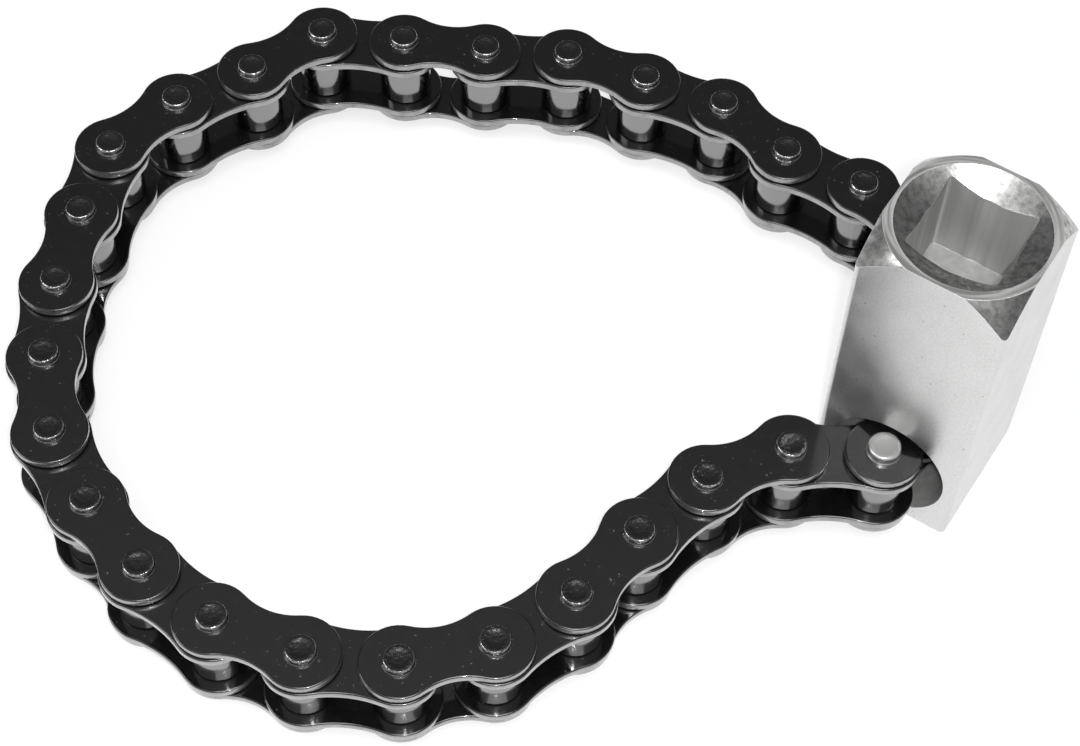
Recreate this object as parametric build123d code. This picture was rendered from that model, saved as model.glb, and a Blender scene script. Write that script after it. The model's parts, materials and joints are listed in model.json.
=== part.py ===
"""Chain oil filter wrench: an endless roller chain threaded through the cross bore of a square drive block.

Millimetres, +Z up. The origin is the centre of the block's base, on the axis of its drive socket.
The cross bore runs along Y, and the chain's loop lies towards -X.
"""
from build123d import *
import os
from math import acos, cos, degrees, hypot, radians, sin, sqrt, tan

# Drive block: a length of square bar, faced and chamfered in a lathe
block_side = 21.5
block_height = 52.1
block_edge_radius = 0.8
base_chamfer = 0.3
crown_radius = 11.5
crown_angle = 52.0

# Drive socket for a half-inch drive: a square broached in a flat-bottomed round hole
drive_size = 12.7
drive_clearance = 0.15
socket_depth = 15.0
socket_corner_radius = 0.5
pilot_diameter = 13.1
sink_diameter = 20.4
sink_angle = 30.0

# Cross bore for the chain
bore_diameter = 17.8
bore_floor_wall = 0.6
bore_chamfer = 0.2

# Roller chain with a half-inch pitch
pitch = 12.7
roller_diameter = 7.92
inner_width = 7.85
plate_thickness = 1.25
outer_plate_height = 10.7
outer_waist_height = 7.8
inner_plate_height = 11.2
inner_waist_height = 9.4
pin_diameter = 3.96
pin_proud = 1.1
closing_pin_proud = 1.4
bush_diameter = 5.6
pin_clearance = 0.04
roller_clearance = 0.06
roller_end_play = 0.1
side_play = 0.15
chain_drop = 0.15

# Lay of the loop: where the chain leaves the bore, and how far it turns at each joint after that
mouth_gap = 2.25
mouth_heading = -149.0
lay_turns = [
    25, 19, 6, -14, -21, -19, -16, -15, -14, -10, -19, -11,
    -9, -4, -31, -15, 6, -42, -2, 4, -18, -1, -22, 15,
]
links_in_line_with_bore = 3
open_joint = 14

# Places that follow from the sizes above
half_side = block_side / 2
bore_radius = bore_diameter / 2
bore_height = bore_floor_wall + bore_radius
chain_height = bore_height - chain_drop
drive_width = drive_size + drive_clearance
inner_plate_low = inner_width / 2
inner_plate_high = inner_plate_low + plate_thickness
outer_plate_low = inner_plate_high + side_play
outer_plate_high = outer_plate_low + plate_thickness
pin_end = outer_plate_high + pin_proud
closing_pin_end = outer_plate_high + closing_pin_proud
bush_bore = pin_diameter + 2 * pin_clearance
roller_bore = bush_diameter + 2 * roller_clearance
roller_length = inner_width - 2 * roller_end_play


def tube(outer, inner, low, high):
    """A ring or tube round Z between two heights."""
    body = extrude(Circle(outer / 2) - Circle(inner / 2), high - low)
    return Pos(0, 0, low) * body


def rod(diameter, low, high):
    """A round bar on Z between two heights."""
    return Pos(0, 0, low) * extrude(Circle(diameter / 2), high - low)


def step_towards(point, heading):
    """The next pin of the chain from this one, in a direction given in degrees."""
    x, y = point
    return x + pitch * cos(radians(heading)), y + pitch * sin(radians(heading))


def joint_places():
    """Every joint of the loop in order, from the bore's front mouth round to the bore again."""
    places = [(0.0, -half_side - mouth_gap)]
    heading = mouth_heading
    for turn in [0] + lay_turns:
        heading += turn
        places.append(step_towards(places[-1], heading))
    back = [(0.0, places[0][1] + pitch * n) for n in range(links_in_line_with_bore, 0, -1)]
    # Two links close the loop behind the block, folded towards it
    x0, y0 = places[-1]
    x1, y1 = back[0]
    span = hypot(x1 - x0, y1 - y0)
    rise = sqrt(pitch**2 - (span / 2) ** 2)
    places.append(((x0 + x1) / 2 + rise * (y1 - y0) / span, (y0 + y1) / 2 - rise * (x1 - x0) / span))
    return places + back


def plate_outline(end_radius, waist):
    """A chain plate from one pin at the origin to the next along X: round ends and an arched waist."""
    half = pitch / 2
    arch = (half**2 + waist**2 - end_radius**2) / (2 * (end_radius - waist))
    share = end_radius / (end_radius + arch)
    reach = half * share
    rise = (waist + arch) * share
    near, far = reach, pitch - reach
    outline = [
        ThreePointArc((near, -rise), (-end_radius, 0), (near, rise)),
        ThreePointArc((near, rise), (half, waist), (far, rise)),
        ThreePointArc((far, rise), (pitch + end_radius, 0), (far, -rise)),
        ThreePointArc((far, -rise), (half, -waist), (near, -rise)),
    ]
    return make_face(outline)


def plate(height, waist_height, hole, low):
    """An upper chain plate with its two holes, lying from low upwards."""
    face = plate_outline(height / 2, waist_height / 2)
    for x in (0, pitch):
        face -= Pos(x, 0) * Circle(hole / 2)
    return Pos(0, 0, low) * extrude(face, plate_thickness)


def both_sides(solid):
    """A piece of the chain's upper side and its twin below."""
    return [solid, mirror(solid, about=Plane.XY)]


def outer_plates():
    return both_sides(plate(outer_plate_height, outer_waist_height, pin_diameter, outer_plate_low))


def inner_link():
    """Two inner plates on the two bushes that are pressed into them, as one piece."""
    link = plate(inner_plate_height, inner_waist_height, bush_bore, inner_plate_low)
    link += mirror(link, about=Plane.XY)
    for x in (0, pitch):
        link += Pos(x, 0, 0) * tube(bush_diameter, bush_bore, -inner_plate_low, inner_plate_low)
    return link


def roller():
    return tube(roller_diameter, roller_bore, -roller_length / 2, roller_length / 2)


def pin(end):
    return rod(pin_diameter, -end, end)


def open_pin():
    """The ends of the pin where the loop is opened: they stay in the outer plates and clear the bush."""
    return both_sides(rod(pin_diameter, outer_plate_low, pin_end))


def drive_block():
    """Square bar with a coned crown, a countersunk square socket and the cross bore."""
    bar = extrude(RectangleRounded(block_side, block_side, block_edge_radius), block_height)
    corner_radius = half_side * sqrt(2)
    crown_drop = (corner_radius - crown_radius) * tan(radians(crown_angle))
    turned = Polyline(
        (0, 0),
        (corner_radius, 0),
        (corner_radius, block_height - crown_drop),
        (crown_radius, block_height),
        (0, block_height),
        close=True,
    )
    block = bar & revolve(Plane.XZ * make_face(turned), Axis.Z)
    base_edges = block.edges().group_by(Axis.Z)[0]
    block = chamfer(base_edges, base_chamfer)
    square = RectangleRounded(drive_width, drive_width, socket_corner_radius)
    block -= Pos(0, 0, block_height - socket_depth) * extrude(square, socket_depth)
    pilot_radius = pilot_diameter / 2
    sink_radius = sink_diameter / 2
    sink_depth = (sink_radius - pilot_radius) * tan(radians(sink_angle))
    drilled = Polyline(
        (0, block_height - socket_depth),
        (pilot_radius, block_height - socket_depth),
        (pilot_radius, block_height - sink_depth),
        (sink_radius, block_height),
        (0, block_height),
        close=True,
    )
    block -= revolve(Plane.XZ * make_face(drilled), Axis.Z)
    across = Plane.XZ * Pos(0, bore_height)
    bore = extrude(across * Circle(bore_radius), half_side, both=True)
    block -= bore
    mouths = block.edges().filter_by(GeomType.CIRCLE).filter_by(
        lambda edge: abs(edge.radius - bore_radius) < 0.01 and edge.length > bore_radius
    )
    return chamfer(mouths, bore_chamfer)


def place_link(places, index):
    """The position of a link: its first pin on one joint, and its second on the next."""
    x0, y0 = places[index]
    x1, y1 = places[(index + 1) % len(places)]
    heading = degrees(acos((x1 - x0) / hypot(x1 - x0, y1 - y0)))
    if y1 < y0:
        heading = -heading
    return Pos(x0, y0, chain_height) * Rot(0, 0, heading)


def at_both_ends(solid):
    """A piece on the first pin of a link and its twin on the second."""
    return [solid, Pos(pitch, 0, 0) * solid]


def wrench():
    """Every piece by the name of its node."""
    places = joint_places()
    closing = len(places) - 1
    outer = outer_plates()
    riveted_pin = pin(pin_end)
    outer_link = outer + at_both_ends(riveted_pin)
    open_link = outer + [riveted_pin] + [Pos(pitch, 0, 0) * end for end in open_pin()]
    inner = inner_link()
    rollers = at_both_ends(roller())
    at = place_link(places, closing)
    nodes = {"drive_block": [drive_block()]}
    nodes["closing_link"] = [at * piece for piece in outer]
    nodes["closing_pins"] = [at * piece for piece in at_both_ends(pin(closing_pin_end))]
    for index in range(closing):
        at = place_link(places, index)
        number = index // 2 + 1
        if index % 2:
            pieces = open_link if index + 1 == open_joint else outer_link
            nodes[f"outer_link_{number:02d}"] = [at * piece for piece in pieces]
        elif index + 1 == closing:
            # The two rollers inside the bore have nothing to turn them, and stay with their link
            nodes[f"inner_link_{number:02d}"] = [at * piece for piece in [inner] + rollers]
        else:
            nodes[f"inner_link_{number:02d}"] = [at * inner]
            nodes[f"roller_{index + 1:02d}"] = [at * rollers[0]]
            nodes[f"roller_{index + 2:02d}"] = [at * rollers[1]]
    return nodes


os.makedirs("parts", exist_ok=True)
for name, pieces in wrench().items():
    export_step(Compound(children=pieces) if len(pieces) > 1 else pieces[0], f"parts/{name}.step")
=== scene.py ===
"""Looks for a chain oil filter wrench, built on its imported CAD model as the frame.

Lengths are metres, in the frame of the CAD model: +Z up, origin at the centre of the drive block's base.
"""

import json
from math import cos, pi, radians, sin, sqrt, tan

import bmesh
import bpy
from bpy.props import FloatProperty, FloatVectorProperty, PointerProperty, StringProperty
from mathutils import Matrix, Vector

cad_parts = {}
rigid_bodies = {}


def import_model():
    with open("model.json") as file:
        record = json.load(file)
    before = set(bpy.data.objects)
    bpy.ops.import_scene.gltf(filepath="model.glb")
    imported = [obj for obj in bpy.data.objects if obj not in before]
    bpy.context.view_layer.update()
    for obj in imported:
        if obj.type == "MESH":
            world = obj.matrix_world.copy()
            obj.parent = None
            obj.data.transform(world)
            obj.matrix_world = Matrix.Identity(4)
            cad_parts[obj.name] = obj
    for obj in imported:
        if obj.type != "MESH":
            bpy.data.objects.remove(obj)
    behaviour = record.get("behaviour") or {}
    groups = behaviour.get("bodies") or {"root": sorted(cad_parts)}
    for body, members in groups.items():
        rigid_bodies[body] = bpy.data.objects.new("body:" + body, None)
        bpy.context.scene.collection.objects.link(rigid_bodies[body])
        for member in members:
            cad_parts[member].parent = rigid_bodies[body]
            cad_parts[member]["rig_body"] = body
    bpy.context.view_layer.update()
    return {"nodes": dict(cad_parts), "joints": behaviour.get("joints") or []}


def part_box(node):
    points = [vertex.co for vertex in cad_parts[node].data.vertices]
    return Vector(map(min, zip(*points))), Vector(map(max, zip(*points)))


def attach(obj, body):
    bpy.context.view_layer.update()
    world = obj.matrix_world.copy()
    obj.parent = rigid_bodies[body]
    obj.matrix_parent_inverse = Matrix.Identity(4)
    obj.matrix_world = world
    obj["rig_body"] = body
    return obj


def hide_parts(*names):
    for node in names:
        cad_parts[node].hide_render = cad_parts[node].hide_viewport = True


bl_info = {
    "name": "Chain oil filter wrench",
    "version": (1, 0, 0),
    "blender": (4, 5, 0),
    "location": "3D View > Sidebar > Wrench",
    "description": "Builds the looks of a chain oil filter wrench on its CAD frame",
    "category": "Add Mesh",
}

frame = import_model()
MM = 0.001
BLOCK_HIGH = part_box("drive_block")[1]
HALF_SIDE = BLOCK_HIGH.x


def chain_pins():
    """Every pin's place, in order round the loop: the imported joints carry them."""
    places = {}
    for joint in frame["joints"]:
        if joint["type"] == "hinge":
            places[int(joint["name"].split("_")[1])] = Vector(joint["pos_m"])
    return [places[number] for number in sorted(places)]


def open_link():
    """The outer link whose far pin the CAD model cuts, because the loop of joints is opened there."""
    names = {joint["name"] for joint in frame["joints"]}
    opened = next(number for number in range(1, len(PINS) + 1) if f"pivot_{number:02d}" not in names)
    return opened - 2


PINS = chain_pins()
PITCH = (PINS[1] - PINS[0]).length

# Edges flatter than these stay smooth, on turned pieces and on the block
TURNED_SMOOTH = radians(32)
BLOCK_SMOOTH = radians(25)
# The block's edges from this angle on are broken
BROKEN_FROM = radians(18)
# Faces whose normals point up or down by less than this share are cut edges: on plates, on pins, and
# on bushes and rollers, where every face is one
PLATE_EDGE = 0.6
PIN_SIDE = 0.92
EVERY_FACE = 2.0
# Faces whose normals point up or down by more than these shares are level, or slope
LEVEL = 0.95
SLOPING = 0.1
# Faces whose normals follow an axis this closely are flat
PLATE_FLAT = 0.999
BLOCK_FLAT = 0.9999
# Segments round a plate's end, its waist and its holes
END_STEPS = 28
WAIST_STEPS = 12
HOLE_STEPS = 24
# Segments round a pin, a bush, a roller, and the block's turned and drilled forms
PIN_ROUND = 40
BUSH_ROUND = 32
ROLLER_ROUND = 48
FINE_ROUND = 144
# An outer plate's holes are wider than its pins by this, so that no faces coincide
HOLE_GAP = 0.1 * MM
# How far the cutters of the block reach past it
REACH = 1.5 * MM

# Each soft box: its name, place, width and power in watts
SOFT_BOXES = (
    ("Left soft box", (-0.55, -0.45, 0.45), 0.35, 2.0),
    ("Top soft box", (0.12, -0.22, 0.85), 0.4, 3.6),
)
LAMP_TARGET = (-0.05, -0.02, 0.01)
WHITE = (1, 1, 1, 1)


def length(name, description, default):
    """A length in metres for a property group."""
    return FloatProperty(
        name=name, description=description, default=default, min=0.0, unit="LENGTH", precision=5
    )


def angle(name, description, degrees):
    """An angle for a property group, given in degrees."""
    return FloatProperty(name=name, description=description, default=radians(degrees), subtype="ANGLE")


def number(name, description, default):
    """A plain number for a property group."""
    return FloatProperty(name=name, description=description, default=default, min=0.0)


def direction(name, description, default):
    """A direction for a property group."""
    return FloatVectorProperty(name=name, description=description, size=3, default=default)


def finish_colour(name, description, default):
    """A colour as an sRGB hex value."""
    return StringProperty(name=name, description=description, default=default)


class ChainSizes(bpy.types.PropertyGroup):
    """Sizes of the roller chain."""

    outer_height: length("Outer plate height", "Height of an outer plate at its ends", 10.7 * MM)
    outer_waist: length("Outer plate waist", "Height of an outer plate at its waist", 7.8 * MM)
    inner_height: length("Inner plate height", "Height of an inner plate at its ends", 11.2 * MM)
    inner_waist: length("Inner plate waist", "Height of an inner plate at its waist", 9.4 * MM)
    thickness: length("Plate thickness", "Thickness of every plate", 1.25 * MM)
    inner_low: length("Inner plate level", "Chain's mid-plane to an inner plate's near face", 3.925 * MM)
    outer_low: length("Outer plate level", "Chain's mid-plane to an outer plate's near face", 5.325 * MM)
    edge_round: length("Plate edge", "Rounding that blanking and tumbling leave on a plate", 0.22 * MM)
    pin_diameter: length("Pin diameter", "Diameter of a pin's shank", 3.96 * MM)
    pin_end: length("Pin end", "Chain's mid-plane to a riveted pin's end", 7.6 * MM)
    rivet_diameter: length("Rivet diameter", "Diameter that riveting spreads a pin's end to", 4.25 * MM)
    closing_pin_end: length("Closing pin end", "Chain's mid-plane to a closing pin's end", 7.95 * MM)
    closing_diameter: length("Closing head", "Diameter of a closing pin's pressed head", 4.6 * MM)
    rivet_dish: length("Rivet dish", "Depth of the dish in a riveted pin's end", 0.2 * MM)
    closing_dish: length("Closing dish", "Depth of the dish in a closing pin's end", 0.12 * MM)
    bush_diameter: length("Bush diameter", "Outer diameter of a bush", 5.6 * MM)
    roller_diameter: length("Roller diameter", "Outer diameter of a roller", 7.92 * MM)
    roller_length: length("Roller length", "Length of a roller", 7.65 * MM)
    pin_clearance: length("Pin clearance", "Radial clearance of a pin in its bush", 0.04 * MM)
    roller_clearance: length("Roller clearance", "Radial clearance of a roller on its bush", 0.06 * MM)
    rivet_swell: length("Rivet swell", "How far a pin swells at its plate's face", 0.14 * MM)


class BlockSizes(bpy.types.PropertyGroup):
    """Sizes of the drive block."""

    edge_radius: length("Bar edge", "Radius on the square bar's long edges", 0.8 * MM)
    crown_radius: length("Crown radius", "Radius of the turned chamfer at the top face", 11.5 * MM)
    crown_angle: angle("Crown angle", "Slope of the turned chamfer", 52)
    drive_width: length("Drive square", "Width of the drive socket", 12.85 * MM)
    socket_depth: length("Socket depth", "Depth of the drive socket", 15.0 * MM)
    socket_corner: length("Socket corner", "Radius in the socket's corners", 0.5 * MM)
    pilot_diameter: length("Pilot hole", "Diameter of the hole that the square was broached in", 13.1 * MM)
    sink_diameter: length("Countersink", "Diameter of the countersink", 20.4 * MM)
    sink_angle: angle("Countersink slope", "Slope of the countersink", 30)
    bore_diameter: length("Cross bore", "Diameter of the bore that the chain runs through", 17.8 * MM)
    bore_height: length("Bore height", "Height of the bore's axis over the base", 9.5 * MM)
    break_edge: length("Broken edges", "Width that plating and deburring leave on an edge", 0.22 * MM)


class WrenchFinishes(bpy.types.PropertyGroup):
    """Colours of the finishes, as sRGB hex values."""

    plating: finish_colour("Plating", "Bright zinc plating on the block", "#DCDCDC")
    plating_worn: finish_colour("Plating, dull", "Zinc plating where handling dulled it", "#CDCDCC")
    plating_pit: finish_colour("Plating, pits", "Small pits in the plating", "#6F6F6E")
    turned: finish_colour("Turned plating", "Plating on the crown and the countersink", "#C6C6C5")
    turned_dark: finish_colour("Turned plating, dirty", "The same in the lathe's dirty marks", "#8C8C8B")
    # The pale edge colour is partly worn plating and partly a painted highlight along every broken edge
    plating_edge_and_highlight: finish_colour("Plating, edges", "Zinc plating rubbed bright on the edges", "#F0F0F0")
    broached: finish_colour("Holes", "Thin plating inside the socket and the bore", "#ACACAB")
    broached_dark: finish_colour("Holes, marks", "The same where the broach dragged", "#9C9C9B")
    faced: finish_colour("Faced plating", "Plating on the faced ring round the countersink", "#C4C4C3")
    faced_dark: finish_colour("Faced plating, dark", "The same in the grooves that facing left", "#868685")
    oxide: finish_colour("Black oxide", "Oiled black oxide on the link plates", "#0C0C0D")
    # The plates' grey rims are partly rubbed wear and partly a painted highlight along every cut edge
    oxide_edge_and_highlight: finish_colour("Plate edge", "Rubbed cut edge of a link plate", "#9E9E9E")
    rivet: finish_colour("Rivet", "Blackened end of a riveted pin", "#181819")
    # The pale rim and side are bare steel and partly a painted highlight ring round each pin end
    rivet_side_and_highlight: finish_colour("Rivet side", "Bare steel on the rim and side of a riveted pin", "#AEAEAE")
    roller: finish_colour("Roller", "Plain rolled steel of a roller", "#8F8F8F")
    closing_end: finish_colour("Closing pin end", "Sheared end of a closing pin", "#80807F")
    closing_side: finish_colour("Closing pin side", "Ground rim and side of a closing pin", "#E2E2E1")


class StageSettings(bpy.types.PropertyGroup):
    """The floor, the lamps and the camera."""

    lens: number("Lens", "Focal length on a 36 mm sensor, in mm", 76.33)
    camera_place: FloatVectorProperty(
        name="Camera place",
        description="Where the camera stands",
        size=3,
        unit="LENGTH",
        default=(45.87 * MM, -179.77 * MM, 281.04 * MM),
    )
    camera_right: direction("Camera right", "Direction to the picture's right", (0.84005, 0.54219, 0.01845))
    camera_down: direction("Camera down", "Direction to the picture's bottom", (0.45954, -0.69309, -0.55539))
    floor_size: length("Floor", "Width of the floor", 6.0)
    floor_white: number("Floor white", "How much of the floor shows as plain white", 0.7)
    flash_aside: length("Flash aside", "How far the small lamp stands right of the camera", 10 * MM)
    flash_size: length("Flash size", "Width of the small lamp by the camera", 8 * MM)
    flash_power: number("Flash power", "Power of that lamp, in watts", 0.55)
    room_towards: direction("Room light towards", "Where the room is brightest", (0.15, -0.35, 0.92))
    room_dim: number("Room, dim", "Light of the room near the horizon", 0.16)
    room_bright: number("Room, bright", "Light of the room overhead", 0.9)


# Materials


def linear(hex_colour):
    """An sRGB hex value as linear RGBA."""
    values = [int(hex_colour[i : i + 2], 16) / 255 for i in (1, 3, 5)]
    return [v / 12.92 if v <= 0.04045 else ((v + 0.055) / 1.055) ** 2.4 for v in values] + [1.0]


def add_node(tree, kind, links=(), values=(), **settings):
    """A new node with its settings, its unlinked values and its incoming links."""
    node = tree.nodes.new(kind)
    for key, value in settings.items():
        setattr(node, key, value)
    for key, value in dict(values).items():
        node.inputs[key].default_value = value
    for key, source in dict(links).items():
        tree.links.new(source, node.inputs[key])
    return node


def new_material(name, values=()):
    """A node material with its Principled shader, and the shader's unlinked values."""
    material = bpy.data.materials.new(name)
    material.use_nodes = True
    tree = material.node_tree
    tree.nodes.clear()
    shader = tree.nodes.new("ShaderNodeBsdfPrincipled")
    output = tree.nodes.new("ShaderNodeOutputMaterial")
    tree.links.new(shader.outputs[0], output.inputs["Surface"])
    for key, value in dict(values).items():
        shader.inputs[key].default_value = value
    return material, tree, shader


def feed(tree, shader, sources):
    """Links patterns to the shader's sockets."""
    for key, source in sources.items():
        tree.links.new(source, shader.inputs[key])


def patches(tree, coordinates, size, detail=3.0):
    """Cloudy patches of a real size in metres."""
    return add_node(
        tree,
        "ShaderNodeTexNoise",
        {"Vector": coordinates},
        {"Scale": 1.0 / size, "Detail": detail, "Roughness": 0.55},
    ).outputs["Fac"]


def between(tree, fac, low, high, to_low, to_high):
    """Maps a band of a pattern onto another range."""
    return add_node(
        tree,
        "ShaderNodeMapRange",
        {"Value": fac},
        {"From Min": low, "From Max": high, "To Min": to_low, "To Max": to_high},
    ).outputs["Result"]


def blend_colours(tree, fac, first, second):
    """Two colours mixed by a pattern; either may be a socket or a colour."""
    node = tree.nodes.new("ShaderNodeMix")
    node.data_type = "RGBA"
    tree.links.new(fac, node.inputs["Factor"])
    for socket, colour in ((node.inputs[6], first), (node.inputs[7], second)):
        if isinstance(colour, list):
            socket.default_value = colour
        else:
            tree.links.new(colour, socket)
    return node.outputs[2]


def calculate(tree, operation, first, second):
    """One sum of two patterns."""
    return add_node(tree, "ShaderNodeMath", {0: first, 1: second}, operation=operation).outputs[0]


def scaled_place(tree, where, factors):
    """Object coordinates stretched by three factors."""
    return add_node(tree, "ShaderNodeVectorMath", {0: where}, {1: factors}, operation="MULTIPLY").outputs[0]


def object_coordinates(tree):
    """Places in the object's own metres."""
    return tree.nodes.new("ShaderNodeTexCoord").outputs["Object"]


def relief(tree, shader, height, depth):
    """Raises the surface by a pattern, to a depth in metres."""
    bump = add_node(tree, "ShaderNodeBump", {"Height": height}, {"Strength": 1.0, "Distance": depth})
    tree.links.new(bump.outputs["Normal"], shader.inputs["Normal"])


def zinc_plated_steel(name, finishes):
    """Bright zinc plating on drawn bar: metal with a soft gloss, a fine grain and a few pits."""
    material, tree, shader = new_material(name, {"Metallic": 1.0})
    where = object_coordinates(tree)
    # The plating's own grain is some 0.05 mm, drawn at 0.3 mm so that it shows
    grain = patches(tree, where, 0.3 * MM, 3.0)
    handled = patches(tree, where, 5.0 * MM, 6.0)
    # Pits lie about a millimetre apart, and only where handling has reached
    cells = add_node(tree, "ShaderNodeTexVoronoi", {"Vector": where}, {"Scale": 1 / (1.1 * MM)})
    pits = between(tree, cells.outputs["Distance"], 0.05, 0.16, 1.0, 0.0)
    pits = calculate(tree, "MULTIPLY", pits, between(tree, handled, 0.5, 0.62, 0.0, 1.0))
    dulled = between(tree, grain, 0.35, 0.7, 0.0, 1.0)
    colour = blend_colours(tree, dulled, linear(finishes.plating), linear(finishes.plating_worn))
    colour = blend_colours(tree, pits, colour, linear(finishes.plating_pit))
    feed(tree, shader, {"Base Color": colour, "Roughness": between(tree, handled, 0.3, 0.75, 0.28, 0.4)})
    relief(tree, shader, grain, 0.005 * MM)
    return material


def turned_plated_steel(name, finishes):
    """The same plating over a lathe's marks, on the crown and the countersink: greyer and mottled."""
    material, tree, shader = new_material(name, {"Metallic": 1.0})
    chatter = patches(tree, object_coordinates(tree), 0.9 * MM, 5.0)
    mottle = between(tree, chatter, 0.38, 0.62, 0.0, 1.0)
    colour = blend_colours(tree, mottle, linear(finishes.turned), linear(finishes.turned_dark))
    feed(tree, shader, {"Base Color": colour, "Roughness": between(tree, chatter, 0.35, 0.65, 0.26, 0.36)})
    return material


def faced_plated_steel(name, finishes):
    """Plating on the ring that was faced in the lathe: fine rings round the axis, broken up by handling."""
    material, tree, shader = new_material(name, {"Roughness": 0.42, "Metallic": 0.6})
    where = object_coordinates(tree)
    level = scaled_place(tree, where, (1, 1, 0))
    radius = add_node(tree, "ShaderNodeVectorMath", {0: level}, operation="LENGTH").outputs["Value"]
    ring = add_node(tree, "ShaderNodeCombineXYZ", {"X": radius}).outputs[0]
    # A little of the place is added to the radius, so that the rings wander and break
    drift = add_node(tree, "ShaderNodeVectorMath", {0: where}, {"Scale": 0.07}, operation="SCALE").outputs[0]
    ring = add_node(tree, "ShaderNodeVectorMath", {0: ring, 1: drift}, operation="ADD").outputs[0]
    # The tool's rings are some 0.1 mm apart, drawn at 0.5 mm so that they show
    grooves = between(tree, patches(tree, ring, 0.5 * MM, 3.0), 0.38, 0.62, 0.0, 1.0)
    colour = blend_colours(tree, grooves, linear(finishes.faced), linear(finishes.faced_dark))
    feed(tree, shader, {"Base Color": colour})
    return material


def worn_and_highlit_plated_steel(name, finishes):
    """Plating rubbed bright on the block's edges, and a painted highlight along them: pale, even and softly
    glossy.
    """
    values = {"Base Color": linear(finishes.plating_edge_and_highlight), "Roughness": 0.45, "Metallic": 0.6}
    return new_material(name, values)[0]


def broached_steel(name, finishes):
    """Steel inside the holes, where plating stays thin: dull, with the drag marks of drill and broach."""
    material, tree, shader = new_material(name, {"Roughness": 0.5, "Metallic": 0.5})
    # Broach marks run along the socket, some 0.4 mm apart and drawn at 1.2 mm
    marks = patches(tree, scaled_place(tree, object_coordinates(tree), (1, 1, 0.03)), 1.2 * MM, 3.0)
    dragged = between(tree, marks, 0.35, 0.7, 0.0, 1.0)
    colour = blend_colours(tree, dragged, linear(finishes.broached), linear(finishes.broached_dark))
    feed(tree, shader, {"Base Color": colour})
    relief(tree, shader, marks, 0.02 * MM)
    return material


def black_oxide_steel(name, finishes):
    """Blanked and tumbled plate, black oxide and oil: near black and glossy, rubbed grey on its cut edges,
    with a painted highlight along them.
    """
    # The oil lies on the plate as a thin clear coat
    values = {"Coat Weight": 1.0, "Coat Roughness": 0.06, "Specular IOR Level": 0.25}
    material, tree, shader = new_material(name, values)
    where = object_coordinates(tree)
    edge = add_node(tree, "ShaderNodeAttribute", attribute_name="cut_edge").outputs["Fac"]
    rubbed = patches(tree, where, 1.6 * MM, 4.0)
    specks = patches(tree, where, 0.45 * MM, 2.0)
    # Every cut edge is painted grey: rubbed wear and a painted highlight along the rim
    worn_and_highlit_edges = calculate(tree, "MULTIPLY", edge, between(tree, rubbed, 0.3, 0.6, 0.6, 1.0))
    # Handling has rubbed a few points of the flat faces through to grey
    handled = between(tree, rubbed, 0.5, 0.6, 0.0, 1.0)
    points = calculate(tree, "MULTIPLY", between(tree, specks, 0.68, 0.76, 0.0, 0.6), handled)
    grey = calculate(tree, "MAXIMUM", worn_and_highlit_edges, points)
    sources = {
        "Base Color": blend_colours(tree, grey, linear(finishes.oxide), linear(finishes.oxide_edge_and_highlight)),
        "Roughness": between(tree, rubbed, 0.3, 0.7, 0.26, 0.38),
        "Metallic": between(tree, grey, 0.0, 1.0, 0.2, 1.0),
    }
    feed(tree, shader, sources)
    # Tumbling leaves dents of about half a millimetre
    relief(tree, shader, specks, 0.008 * MM)
    return material


def turned_steel(name, end_colour, side_colour, roughness, end_metallic=1.0, dents=0.0):
    """A turned pin, bush or roller: a glossy bare side, and an end that may be darker and duller."""
    material, tree, shader = new_material(name)
    side = add_node(tree, "ShaderNodeAttribute", attribute_name="cut_edge").outputs["Fac"]
    where = object_coordinates(tree)
    smear = patches(tree, where, 2.5 * MM, 3.0)
    gloss = between(tree, smear, 0.3, 0.7, roughness * 0.8, roughness * 1.25)
    # Shearing and riveting leave the end some 0.15 rougher
    gloss = calculate(tree, "ADD", gloss, between(tree, side, 0.0, 1.0, 0.15, 0.0))
    sources = {
        "Base Color": blend_colours(tree, side, linear(end_colour), linear(side_colour)),
        "Roughness": gloss,
        "Metallic": between(tree, side, 0.0, 1.0, end_metallic, 1.0),
    }
    feed(tree, shader, sources)
    if dents:
        # The riveting tool leaves dents of about half a millimetre
        relief(tree, shader, patches(tree, where, 0.5 * MM, 2.0), dents)
    return material


def riveted_pin_steel(name, finishes):
    """A hammered black end with a bare steel rim, whose pale colour is also a painted highlight ring."""
    return turned_steel(name, finishes.rivet, finishes.rivet_side_and_highlight, 0.12, 0.2, 0.12 * MM)


def bush_steel(name, finishes):
    """Rolled strip, softly glossy."""
    return turned_steel(name, finishes.roller, finishes.roller, 0.3)


def roller_steel(name, finishes):
    """Rolled and tumbled steel, glossy enough to mirror the floor."""
    return turned_steel(name, finishes.roller, finishes.roller, 0.14)


def closing_pin_steel(name, finishes):
    """A bright ground pin with a duller sheared end."""
    return turned_steel(name, finishes.closing_end, finishes.closing_side, 0.3, 0.4, 0.03 * MM)


# Each kind of surface, with its finish's name and maker
FINISHES = {
    "block": ("Bright zinc plated bar steel", zinc_plated_steel),
    "turned": ("Zinc plated turned steel", turned_plated_steel),
    "edge": ("Zinc plating on worn edges and ends", worn_and_highlit_plated_steel),
    "broached": ("Broached and thinly plated steel", broached_steel),
    "faced": ("Zinc plated faced steel", faced_plated_steel),
    "plate": ("Oiled black oxide plate steel", black_oxide_steel),
    "rivet": ("Blackened riveted pin steel", riveted_pin_steel),
    "bush": ("Rolled bush steel", bush_steel),
    "roller": ("Plain rolled roller steel", roller_steel),
    "closing": ("Ground closing pin steel", closing_pin_steel),
}
BLOCK_KINDS = ["block", "turned", "edge", "broached", "faced"]


def finish_of(kind):
    """The finish of one kind of surface, made once and shared."""
    name, make = FINISHES[kind]
    return bpy.data.materials.get(name) or make(name, bpy.context.scene.wrench_finishes)


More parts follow.
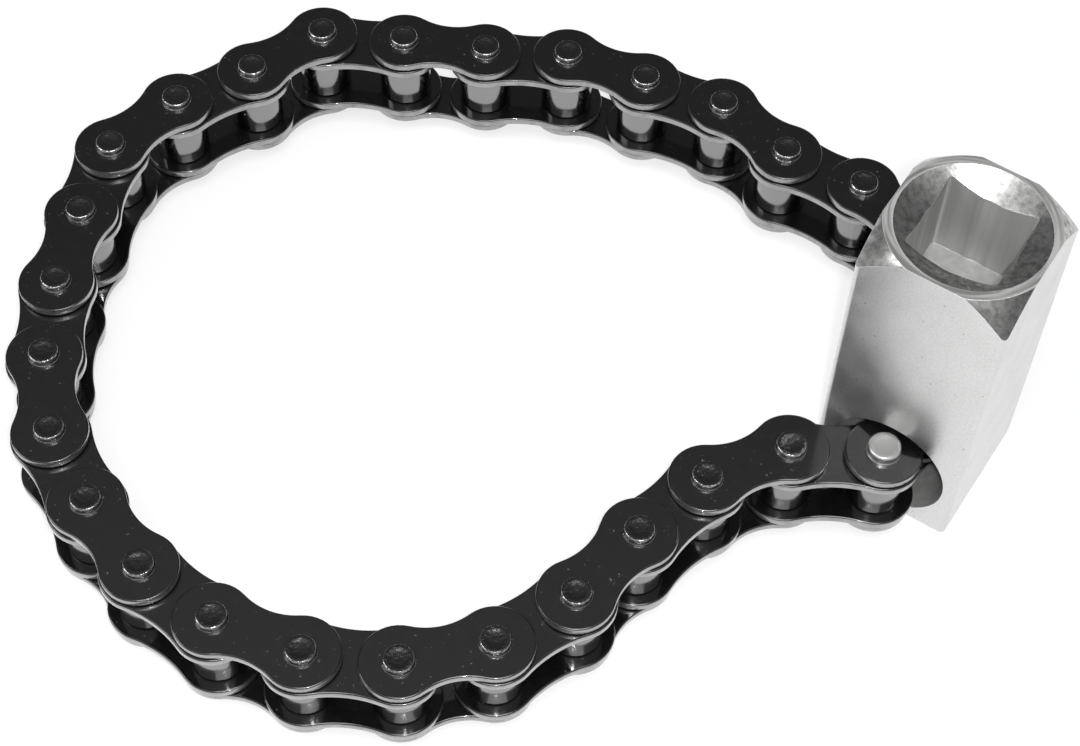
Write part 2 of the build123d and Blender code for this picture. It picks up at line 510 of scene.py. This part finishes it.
# Shapes


def new_object(name, mesh):
    """An object at the origin that shows in the scene."""
    piece = bpy.data.objects.new(name, mesh)
    bpy.context.scene.collection.objects.link(piece)
    return piece


def remove_object(piece):
    """Removes an object and the data that nothing else uses."""
    data = piece.data
    bpy.data.objects.remove(piece)
    if data.users == 0:
        bpy.data.batch_remove([data])


def smooth_by_angle(mesh, angle):
    """Smooth faces with edges sharper than an angle kept sharp."""
    mesh.shade_smooth()
    mesh.set_sharp_from_angle(angle=angle)


def mark_cut_edges(mesh, steepest):
    """Marks the faces that stand steeper than a slope as cut edges, for the finish to read."""
    mark = mesh.attributes.new("cut_edge", "FLOAT", "FACE")
    mark.data.foreach_set("value", [float(abs(face.normal.z) < steepest) for face in mesh.polygons])


def turned_solid(name, profile, segments):
    """A closed solid of revolution round Z.

    The profile is pairs of radius and height, from pole to pole or once round a tube's wall.
    """
    form = bmesh.new()
    closed = profile[0][0] > 0
    rings = []
    for radius, height in profile:
        if radius <= 0:
            rings.append([form.verts.new((0, 0, height))])
            continue
        ring = []
        for step in range(segments):
            angle = 2 * pi * step / segments
            ring.append(form.verts.new((radius * cos(angle), radius * sin(angle), height)))
        rings.append(ring)
    pairs = list(zip(rings, rings[1:]))
    if closed:
        pairs.append((rings[-1], rings[0]))
    for low, high in pairs:
        for step in range(segments):
            after = (step + 1) % segments
            corners = [low[step % len(low)], low[after % len(low)]]
            corners += [high[after % len(high)], high[step % len(high)]]
            # A pole comes twice, and counts once
            corners = list(dict.fromkeys(corners))
            if len(corners) > 2:
                form.faces.new(corners)
    bmesh.ops.recalc_face_normals(form, faces=form.faces)
    mesh = bpy.data.meshes.new(name)
    form.to_mesh(mesh)
    form.free()
    smooth_by_angle(mesh, TURNED_SMOOTH)
    return mesh


def rounded(points, radius, steps=4):
    """A profile with each inner corner rounded: a quarter-like arc between the two runs that meet there."""
    result = [points[0]]
    for before, corner, after in zip(points, points[1:], points[2:]):
        corner_at = Vector(corner)
        into = Vector(before) - corner_at
        out = Vector(after) - corner_at
        cut = min(radius, into.length * 0.49, out.length * 0.49)
        start = corner_at + into.normalized() * cut
        end = corner_at + out.normalized() * cut
        for step in range(steps + 1):
            t = step / steps
            spot = start * (1 - t) ** 2 + corner_at * 2 * t * (1 - t) + end * t**2
            result.append((spot.x, spot.y))
    result.append(points[-1])
    return result


def arc_points(centre, start, end, radius, count):
    """Points on an arc, without its last one."""
    return [
        (
            centre[0] + radius * cos(start + (end - start) * n / count),
            centre[1] + radius * sin(start + (end - start) * n / count),
        )
        for n in range(count)
    ]


def plate_points(end_radius, waist, pitch):
    """A plate's outline, anticlockwise from its waist below: round ends and an arched waist."""
    half = pitch / 2
    arch = (half**2 + waist**2 - end_radius**2) / (2 * (end_radius - waist))
    lean = abs(Vector((half, -(waist + arch))).angle_signed(Vector((0, -1))))
    sweep = pi / 2 + lean
    points = arc_points((half, -(waist + arch)), pi / 2, pi / 2 - lean, arch, WAIST_STEPS // 2)
    points += arc_points((pitch, 0), -sweep, sweep, end_radius, END_STEPS)
    points += arc_points((half, waist + arch), -pi / 2 + lean, -pi / 2 - lean, arch, WAIST_STEPS)
    points += arc_points((0, 0), pi - sweep, pi + sweep, end_radius, END_STEPS)
    points += arc_points((half, -(waist + arch)), pi / 2 + lean, pi / 2, arch, WAIST_STEPS // 2)
    return points


def pressed_plate(name, height, waist_height, hole, sizes):
    """A blanked link plate with two holes and rounded edges, lying on the XY plane."""
    curve = bpy.data.curves.new(name, "CURVE")
    curve.dimensions = "2D"
    curve.fill_mode = "BOTH"
    half = sizes.thickness / 2
    outlines = [plate_points(height / 2, waist_height / 2, PITCH)]
    outlines += [arc_points((x, 0), 0, 2 * pi, hole / 2, HOLE_STEPS) for x in (0, PITCH)]
    for outline in outlines:
        spline = curve.splines.new("POLY")
        spline.points.add(len(outline) - 1)
        for spot, (x, y) in zip(spline.points, outline):
            spot.co = (x, y, 0, 1)
        spline.use_cyclic_u = True
    curve.bevel_depth = sizes.edge_round
    curve.bevel_resolution = 2
    curve.offset = -sizes.edge_round
    curve.extrude = half - sizes.edge_round
    holder = new_object(name, curve)
    bpy.context.view_layer.update()
    mesh = bpy.data.meshes.new_from_object(holder.evaluated_get(bpy.context.evaluated_depsgraph_get()))
    remove_object(holder)
    mesh.transform(Matrix.Translation((0, 0, half)))
    form = bmesh.new()
    form.from_mesh(mesh)
    bmesh.ops.remove_doubles(form, verts=form.verts, dist=0.002 * MM)
    bmesh.ops.recalc_face_normals(form, faces=form.faces)
    for face in form.faces:
        face.smooth = abs(face.normal.z) < PLATE_FLAT
    form.to_mesh(mesh)
    form.free()
    mesh.materials.clear()
    mark_cut_edges(mesh, PLATE_EDGE)
    return mesh


def socket_id(tree, name):
    """The identifier of a tree's named input."""
    for item in tree.interface.items_tree:
        if item.item_type == "SOCKET" and item.in_out == "INPUT" and item.name == name:
            return item.identifier
    raise KeyError(name)


def link_tree():
    """The node tree of one link: a plate above and one below, and a pin or bush at both ends."""
    tree = bpy.data.node_groups.get("Chain link")
    if tree:
        return tree
    tree = bpy.data.node_groups.new("Chain link", "GeometryNodeTree")
    face = tree.interface
    for name, kind in (
        ("Plate", "NodeSocketObject"),
        ("Pin", "NodeSocketObject"),
        ("Far pin", "NodeSocketObject"),
        ("Pitch", "NodeSocketFloat"),
        ("Plate level", "NodeSocketFloat"),
        ("Place", "NodeSocketVector"),
        ("Heading", "NodeSocketFloat"),
        ("Plate finish", "NodeSocketMaterial"),
        ("Pin finish", "NodeSocketMaterial"),
    ):
        face.new_socket(name, in_out="INPUT", socket_type=kind)
    face.new_socket("Geometry", in_out="OUTPUT", socket_type="NodeSocketGeometry")
    given = tree.nodes.new("NodeGroupInput").outputs
    plate = add_node(tree, "GeometryNodeObjectInfo", {"Object": given["Plate"]}).outputs["Geometry"]
    level = add_node(tree, "ShaderNodeCombineXYZ", {"Z": given["Plate level"]}).outputs[0]
    above = add_node(tree, "GeometryNodeTransform", {"Geometry": plate, "Translation": level}).outputs[0]
    below = add_node(tree, "GeometryNodeTransform", {"Geometry": above}, {"Rotation": (pi, 0, 0)}).outputs[0]
    both = tree.nodes.new("GeometryNodeJoinGeometry")
    tree.links.new(above, both.inputs[0])
    tree.links.new(below, both.inputs[0])
    plates = add_node(tree, "GeometryNodeRealizeInstances", {"Geometry": both.outputs[0]}).outputs[0]
    plates = add_node(
        tree, "GeometryNodeSetMaterial", {"Geometry": plates, "Material": given["Plate finish"]}
    ).outputs[0]
    step = add_node(tree, "ShaderNodeCombineXYZ", {"X": given["Pitch"]}).outputs[0]
    near = add_node(tree, "GeometryNodeObjectInfo", {"Object": given["Pin"]}).outputs["Geometry"]
    far = add_node(tree, "GeometryNodeObjectInfo", {"Object": given["Far pin"]}).outputs["Geometry"]
    far = add_node(tree, "GeometryNodeTransform", {"Geometry": far, "Translation": step}).outputs[0]
    pins = tree.nodes.new("GeometryNodeJoinGeometry")
    tree.links.new(near, pins.inputs[0])
    tree.links.new(far, pins.inputs[0])
    pins = add_node(tree, "GeometryNodeRealizeInstances", {"Geometry": pins.outputs[0]}).outputs[0]
    pins = add_node(
        tree, "GeometryNodeSetMaterial", {"Geometry": pins, "Material": given["Pin finish"]}
    ).outputs[0]
    link = tree.nodes.new("GeometryNodeJoinGeometry")
    tree.links.new(plates, link.inputs[0])
    tree.links.new(pins, link.inputs[0])
    turn = add_node(tree, "ShaderNodeCombineXYZ", {"Z": given["Heading"]}).outputs[0]
    placed = add_node(
        tree,
        "GeometryNodeTransform",
        {"Geometry": link.outputs[0], "Translation": given["Place"], "Rotation": turn},
    ).outputs[0]
    add_node(tree, "NodeGroupOutput", {"Geometry": placed})
    return tree


def grow(name, tree, inputs):
    """Runs a node tree once and returns its result as a plain mesh object."""
    piece = new_object(name, bpy.data.meshes.new(name))
    modifier = piece.modifiers.new("Grow", "NODES")
    modifier.node_group = tree
    for key, value in inputs.items():
        modifier[socket_id(tree, key)] = value
    bpy.context.view_layer.update()
    made = bpy.data.meshes.new_from_object(piece.evaluated_get(bpy.context.evaluated_depsgraph_get()))
    piece.modifiers.remove(modifier)
    empty = piece.data
    piece.data = made
    bpy.data.meshes.remove(empty)
    made.name = name
    return piece


def link_place(index):
    """Where link number index starts, and its heading."""
    start, end = PINS[index], PINS[(index + 1) % len(PINS)]
    return start, -Vector((1, 0)).angle_signed((end - start).xy)


def link_nodes(index):
    """The CAD nodes of a link: inner and outer ones take turns, and the last one closes the loop."""
    if index == len(PINS) - 1:
        return ["closing_link", "closing_pins"]
    kind = "outer" if index % 2 else "inner"
    return [f"{kind}_link_{index // 2 + 1:02d}"]


def lay_links(indices, plate, pin, level, pin_kind, far_pins=()):
    """Puts a link in the place of each one's CAD nodes. Far pins replace some links' second pin."""
    tree = link_tree()
    for index in indices:
        place, heading = link_place(index)
        nodes = link_nodes(index)
        inputs = {
            "Plate": plate,
            "Pin": pin,
            "Far pin": dict(far_pins).get(index, pin),
            "Pitch": PITCH,
            "Plate level": level,
            "Place": place,
            "Heading": heading,
            "Plate finish": finish_of("plate"),
            "Pin finish": finish_of(pin_kind),
        }
        seat(grow("looks_" + nodes[0], tree, inputs), nodes)


def seat(piece, nodes):
    """Puts a piece in the place of CAD nodes, on their body."""
    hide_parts(*nodes)
    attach(piece, frame["nodes"][nodes[0]]["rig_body"])


def pin_mesh(name, sizes, end, head_diameter, dish, cut=False):
    """A pin with a spread and dished head at both ends. A cut one has only the ends that its plates hold."""
    plate_top = sizes.outer_low + sizes.thickness
    shank, head = sizes.pin_diameter / 2, head_diameter / 2
    swell = sizes.rivet_swell
    top = [(shank, plate_top - 0.3 * MM), (head + swell, plate_top - 0.02 * MM)]
    top += [(head + swell, plate_top + swell * 0.5), (head, plate_top + swell * 1.5)]
    top += [(head, end - 0.25 * MM), (head * 0.92, end), (head * 0.7, end)]
    top += [(head * 0.45, end - dish * 0.8), (head * 0.2, end - dish), (0, end - dish)]
    if cut:
        top = [(0, sizes.outer_low), (shank, sizes.outer_low)] + top
    top = rounded(top, 0.1 * MM, 2)
    bottom = [(r, -z) for r, z in reversed(top)]
    form = bmesh.new()
    for profile in (bottom, top) if cut else (bottom + top,):
        solid = turned_solid(name, profile, PIN_ROUND)
        form.from_mesh(solid)
        bpy.data.meshes.remove(solid)
    mesh = bpy.data.meshes.new(name)
    form.to_mesh(mesh)
    form.free()
    mark_cut_edges(mesh, PIN_SIDE)
    return mesh


def rounded_bar(name, half, radius, low, high, steps):
    """A square bar with rounded long edges between two heights."""
    form = bmesh.new()
    outline = []
    inner = half - radius
    for quarter, (x, y) in enumerate(((inner, inner), (-inner, inner), (-inner, -inner), (inner, -inner))):
        start, end = quarter * pi / 2, (quarter + 1) * pi / 2
        outline += arc_points((x, y), start, end, radius, steps)
        outline.append((x + radius * cos(end), y + radius * sin(end)))
    bottom = [form.verts.new((x, y, low)) for x, y in outline]
    top = [form.verts.new((x, y, high)) for x, y in outline]
    form.faces.new(reversed(bottom))
    form.faces.new(top)
    count = len(outline)
    for n in range(count):
        after = (n + 1) % count
        form.faces.new((bottom[n], bottom[after], top[after], top[n]))
    bmesh.ops.recalc_face_normals(form, faces=form.faces)
    mesh = bpy.data.meshes.new(name)
    form.to_mesh(mesh)
    form.free()
    return mesh


def crown_cutter(sizes):
    """The cone that the lathe leaves of the block's top corners."""
    top = BLOCK_HIGH.z
    corner = HALF_SIDE * sqrt(2)
    slope = tan(sizes.crown_angle)
    low = top - (corner - sizes.crown_radius) * slope
    outside = corner + REACH
    profile = [(0, -REACH), (outside, -REACH), (outside, low - REACH * slope)]
    profile += [(sizes.crown_radius, top), (0, top)]
    return turned_solid("Crown", profile, FINE_ROUND)


def drill_cutter(sizes):
    """The flat-bottomed pilot hole with its countersink."""
    top = BLOCK_HIGH.z
    floor = top - sizes.socket_depth
    pilot, sink = sizes.pilot_diameter / 2, sizes.sink_diameter / 2
    rise = tan(sizes.sink_angle)
    above = top + REACH * rise
    profile = [(0, floor), (pilot, floor), (pilot, top - (sink - pilot) * rise)]
    profile += [(sink + REACH, above), (0, above)]
    return turned_solid("Drilled", profile, FINE_ROUND)


def socket_cutter(sizes):
    """The broached square."""
    low, high = BLOCK_HIGH.z - sizes.socket_depth, BLOCK_HIGH.z + REACH
    return rounded_bar("Socket", sizes.drive_width / 2, sizes.socket_corner, low, high, 5)


def bore_cutter(sizes):
    """The cross bore, along Y."""
    end, radius = HALF_SIDE + REACH, sizes.bore_diameter / 2
    bore = turned_solid("Bore", [(0, -end), (radius, -end), (radius, end), (0, end)], FINE_ROUND)
    bore.transform(Matrix.Translation((0, 0, sizes.bore_height)) @ Matrix.Rotation(pi / 2, 4, "X"))
    return bore


def give_finishes(mesh, level, sloping, upright):
    """Gives a mesh one finish on its level faces, one on its sloping faces and one on its upright faces."""
    for kind in BLOCK_KINDS:
        mesh.materials.append(finish_of(kind))
    for face in mesh.polygons:
        lift = abs(face.normal.z)
        kind = level if lift > LEVEL else sloping if lift > SLOPING else upright
        face.material_index = BLOCK_KINDS.index(kind)


def cut_with(body, mesh, operation):
    """Adds a cut to a body, and returns the object that cuts."""
    cutter = new_object(mesh.name, mesh)
    cut = body.modifiers.new(mesh.name, "BOOLEAN")
    cut.operation = operation
    cut.solver = "EXACT"
    cut.object = cutter
    return cutter


def break_edges(body, width):
    """Rounds the edges that deburring and plating leave on a body."""
    bevel = body.modifiers.new("Broken edges", "BEVEL")
    bevel.width = width
    bevel.segments = 3
    # The broken edges take the pale edge finish: worn plating with a painted highlight along it
    bevel.material = BLOCK_KINDS.index("edge")
    bevel.limit_method = "ANGLE"
    bevel.angle_limit = BROKEN_FROM
    bevel.miter_outer = "MITER_ARC"


class WRENCH_OT_drive_block(bpy.types.Operator):
    """Make the drive block: square bar, turned crown, countersunk drive socket and cross bore"""

    bl_idname = "wrench.drive_block"
    bl_label = "Drive block"

    def execute(self, context):
        sizes = context.scene.wrench_block
        bar = rounded_bar("Bar", HALF_SIDE, sizes.edge_radius, 0, BLOCK_HIGH.z, 8)
        body = new_object("drive_block_looks", bar)
        give_finishes(bar, "faced", "block", "block")
        cutters = []
        for mesh, operation, level, sloping, upright in (
            (crown_cutter(sizes), "INTERSECT", "faced", "turned", "turned"),
            (drill_cutter(sizes), "DIFFERENCE", "broached", "turned", "broached"),
            (socket_cutter(sizes), "DIFFERENCE", "broached", "broached", "broached"),
            (bore_cutter(sizes), "DIFFERENCE", "broached", "broached", "broached"),
        ):
            give_finishes(mesh, level, sloping, upright)
            cutters.append(cut_with(body, mesh, operation))
        break_edges(body, sizes.break_edge)
        context.view_layer.update()
        made = bpy.data.meshes.new_from_object(body.evaluated_get(context.evaluated_depsgraph_get()))
        body.modifiers.clear()
        body.data = made
        for cutter in cutters:
            remove_object(cutter)
        smooth_by_angle(made, BLOCK_SMOOTH)
        # Flat faces are shaded flat, or the roundings beside them bend their reflections
        for face in made.polygons:
            face.use_smooth = max(abs(value) for value in face.normal) < BLOCK_FLAT
        seat(body, ["drive_block"])
        return {"FINISHED"}


def outer_plate(name, sizes):
    """The master of an outer plate."""
    hole = sizes.pin_diameter + HOLE_GAP
    return new_object(name, pressed_plate(name, sizes.outer_height, sizes.outer_waist, hole, sizes))


class WRENCH_OT_outer_links(bpy.types.Operator):
    """Make the outer links: two black plates on two riveted pins each"""

    bl_idname = "wrench.outer_links"
    bl_label = "Outer links"

    def execute(self, context):
        sizes = context.scene.wrench_chain
        plate = outer_plate("Outer plate", sizes)
        ends = (sizes.pin_end, sizes.rivet_diameter, sizes.rivet_dish)
        pin = new_object("Riveted pin", pin_mesh("Riveted pin", sizes, *ends))
        cut_pin = new_object("Cut pin", pin_mesh("Cut pin", sizes, *ends, cut=True))
        indices = range(1, len(PINS) - 1, 2)
        # The loop of joints is opened at one pin, whose middle the CAD model leaves out
        lay_links(indices, plate, pin, sizes.outer_low, "rivet", {open_link(): cut_pin})
        for master in (plate, pin, cut_pin):
            remove_object(master)
        return {"FINISHED"}


class WRENCH_OT_closing_link(bpy.types.Operator):
    """Make the closing link: two black plates on two bright pins"""

    bl_idname = "wrench.closing_link"
    bl_label = "Closing link"

    def execute(self, context):
        sizes = context.scene.wrench_chain
        plate = outer_plate("Closing plate", sizes)
        ends = (sizes.closing_pin_end, sizes.closing_diameter, sizes.closing_dish)
        pin = new_object("Closing pin", pin_mesh("Closing pin", sizes, *ends))
        lay_links([len(PINS) - 1], plate, pin, sizes.outer_low, "closing")
        remove_object(plate)
        remove_object(pin)
        return {"FINISHED"}


class WRENCH_OT_inner_links(bpy.types.Operator):
    """Make the inner links: two black plates on two bushes each"""

    bl_idname = "wrench.inner_links"
    bl_label = "Inner links"

    def execute(self, context):
        sizes = context.scene.wrench_chain
        plate = new_object(
            "Inner plate",
            pressed_plate("Inner plate", sizes.inner_height, sizes.inner_waist, sizes.bush_diameter, sizes),
        )
        outer, inner = sizes.bush_diameter / 2, sizes.pin_diameter / 2 + sizes.pin_clearance
        end = sizes.inner_low + sizes.thickness
        profile = [(outer, -end), (outer, end), (inner, end), (inner, -end)]
        bush = new_object("Bush", turned_solid("Bush", profile, BUSH_ROUND))
        mark_cut_edges(bush.data, EVERY_FACE)
        lay_links(range(0, len(PINS) - 1, 2), plate, bush, sizes.inner_low, "bush")
        remove_object(plate)
        remove_object(bush)
        return {"FINISHED"}


def roller_at(place, name, master):
    """A copy of the roller's mesh at a pin."""
    mesh = master.copy()
    mesh.transform(Matrix.Translation(place))
    return new_object(name, mesh)


class WRENCH_OT_rollers(bpy.types.Operator):
    """Make the rollers, with their ends rounded"""

    bl_idname = "wrench.rollers"
    bl_label = "Rollers"

    def execute(self, context):
        sizes = context.scene.wrench_chain
        half = sizes.roller_length / 2
        outer, inner = sizes.roller_diameter / 2, sizes.bush_diameter / 2 + sizes.roller_clearance
        profile = [(inner, 0), (inner, half), (outer, half), (outer, -half), (inner, -half), (inner, 0)]
        mesh = turned_solid("Roller", rounded(profile, 0.35 * MM, 3)[:-1], ROLLER_ROUND)
        mesh.materials.append(finish_of("roller"))
        mark_cut_edges(mesh, EVERY_FACE)
        for name in sorted(frame["nodes"]):
            if name.startswith("roller_"):
                place = PINS[int(name.split("_")[1]) - 1]
                seat(roller_at(place, "looks_" + name, mesh), [name])
        # The two rollers in the cross bore ride on their inner link
        for count, place in enumerate(PINS[-2:], 1):
            piece = roller_at(place, f"looks_bore_roller_{count}", mesh)
            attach(piece, frame["nodes"]["inner_link_15"]["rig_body"])
        bpy.data.meshes.remove(mesh)
        return {"FINISHED"}


def floor_material(settings):
    """Matt white paper: plain white to the eye and in reflections, with a soft shadow left on it."""
    values = {"Base Color": (0.9, 0.9, 0.9, 1), "Roughness": 0.9, "Specular IOR Level": 0.1}
    material, tree, shader = new_material("White paper floor", values)
    glow = add_node(tree, "ShaderNodeEmission", values={"Color": WHITE, "Strength": 1.0}).outputs[0]
    rays = tree.nodes.new("ShaderNodeLightPath").outputs
    seen = calculate(tree, "MAXIMUM", rays["Is Camera Ray"], rays["Is Glossy Ray"])
    seen = calculate(tree, "MAXIMUM", seen, rays["Is Transmission Ray"])
    share = between(tree, seen, 0.0, 1.0, 0.0, settings.floor_white)
    mixed = add_node(tree, "ShaderNodeMixShader", {0: share, 1: shader.outputs[0], 2: glow}).outputs[0]
    output = next(node for node in tree.nodes if node.type == "OUTPUT_MATERIAL")
    tree.links.new(mixed, output.inputs["Surface"])
    return material


def lamp(name, place, size, power):
    """A square soft box at a place, turned to the middle of the object."""
    light = bpy.data.lights.new(name, "AREA")
    light.shape = "SQUARE"
    light.size = size
    light.energy = power
    holder = bpy.data.objects.new(name, light)
    bpy.context.scene.collection.objects.link(holder)
    holder.location = place
    holder.rotation_mode = "QUATERNION"
    holder.rotation_quaternion = (Vector(LAMP_TARGET) - Vector(place)).to_track_quat("-Z", "Y")


def light_room(scene, settings):
    """A white background to the camera, and to the rest a room that is bright overhead and dim lower down."""
    world = bpy.data.worlds.new("White studio")
    scene.world = world
    world.use_nodes = True
    tree = world.node_tree
    tree.nodes.clear()
    rays = tree.nodes.new("ShaderNodeLightPath").outputs
    white = add_node(tree, "ShaderNodeBackground", values={"Color": WHITE, "Strength": 1.0}).outputs[0]
    towards = tree.nodes.new("ShaderNodeTexCoord").outputs["Generated"]
    height = add_node(
        tree, "ShaderNodeVectorMath", {0: towards}, {1: settings.room_towards}, operation="DOT_PRODUCT"
    ).outputs["Value"]
    glow = between(tree, height, 0.5, 0.95, settings.room_dim, settings.room_bright)
    room = add_node(tree, "ShaderNodeBackground", {"Strength": glow}, {"Color": WHITE}).outputs[0]
    mixed = add_node(tree, "ShaderNodeMixShader", {0: rays["Is Camera Ray"], 1: room, 2: white}).outputs[0]
    add_node(tree, "ShaderNodeOutputWorld", {"Surface": mixed})


def set_camera(scene, settings):
    """The camera that was fitted to the photograph."""
    camera = bpy.data.cameras.new("Camera")
    camera.sensor_width = 36.0
    camera.lens = settings.lens
    camera.clip_start, camera.clip_end = 0.01, 20.0
    holder = bpy.data.objects.new("Camera", camera)
    scene.collection.objects.link(holder)
    right, down = Vector(settings.camera_right).normalized(), Vector(settings.camera_down).normalized()
    up = -down
    turn = Matrix((right, up, right.cross(up))).transposed().to_4x4()
    holder.matrix_world = Matrix.Translation(settings.camera_place) @ turn
    scene.camera = holder


class WRENCH_OT_stage(bpy.types.Operator):
    """Set the white floor, the soft lamps, the world and the camera"""

    bl_idname = "wrench.stage"
    bl_label = "Stage"

    def execute(self, context):
        scene = context.scene
        settings = scene.wrench_stage
        half = settings.floor_size / 2
        mesh = bpy.data.meshes.new("Floor")
        corners = [(-half, -half, 0), (half, -half, 0), (half, half, 0), (-half, half, 0)]
        mesh.from_pydata(corners, [], [(0, 1, 2, 3)])
        mesh.materials.append(floor_material(settings))
        floor = new_object("Floor", mesh)
        for name, place, size, power in SOFT_BOXES:
            lamp(name, place, size, power)
        # A small lamp beside the camera gives the short bright glints of a flash
        beside = Vector(settings.camera_place) + Vector(settings.camera_right) * settings.flash_aside
        lamp("Small lamp by the camera", beside, settings.flash_size, settings.flash_power)
        light_room(scene, settings)
        set_camera(scene, settings)
        scene.view_settings.view_transform = "Standard"
        return {"FINISHED"}


PIECES = (
    WRENCH_OT_drive_block,
    WRENCH_OT_outer_links,
    WRENCH_OT_closing_link,
    WRENCH_OT_inner_links,
    WRENCH_OT_rollers,
    WRENCH_OT_stage,
)
GROUPS = {
    "wrench_chain": ChainSizes,
    "wrench_block": BlockSizes,
    "wrench_finishes": WrenchFinishes,
    "wrench_stage": StageSettings,
}


class WRENCH_PT_panel(bpy.types.Panel):
    """The wrench's sizes, finishes and operators"""

    bl_label = "Chain oil filter wrench"
    bl_space_type = "VIEW_3D"
    bl_region_type = "UI"
    bl_category = "Wrench"

    def draw(self, context):
        for name, group in GROUPS.items():
            column = self.layout.column(align=True)
            settings = getattr(context.scene, name)
            for key in group.__annotations__:
                column.prop(settings, key)
        for operator in PIECES:
            self.layout.operator(operator.bl_idname)


def register():
    for cls in (*GROUPS.values(), *PIECES, WRENCH_PT_panel):
        bpy.utils.register_class(cls)
    for name, group in GROUPS.items():
        setattr(bpy.types.Scene, name, PointerProperty(type=group))


def unregister():
    for name in GROUPS:
        delattr(bpy.types.Scene, name)
    for cls in reversed((*GROUPS.values(), *PIECES, WRENCH_PT_panel)):
        bpy.utils.unregister_class(cls)


def main():
    """Builds the whole scene."""
    register()
    for operator in PIECES:
        group, name = operator.bl_idname.split(".")
        getattr(getattr(bpy.ops, group), name)()


if __name__ == "__main__":
    main()
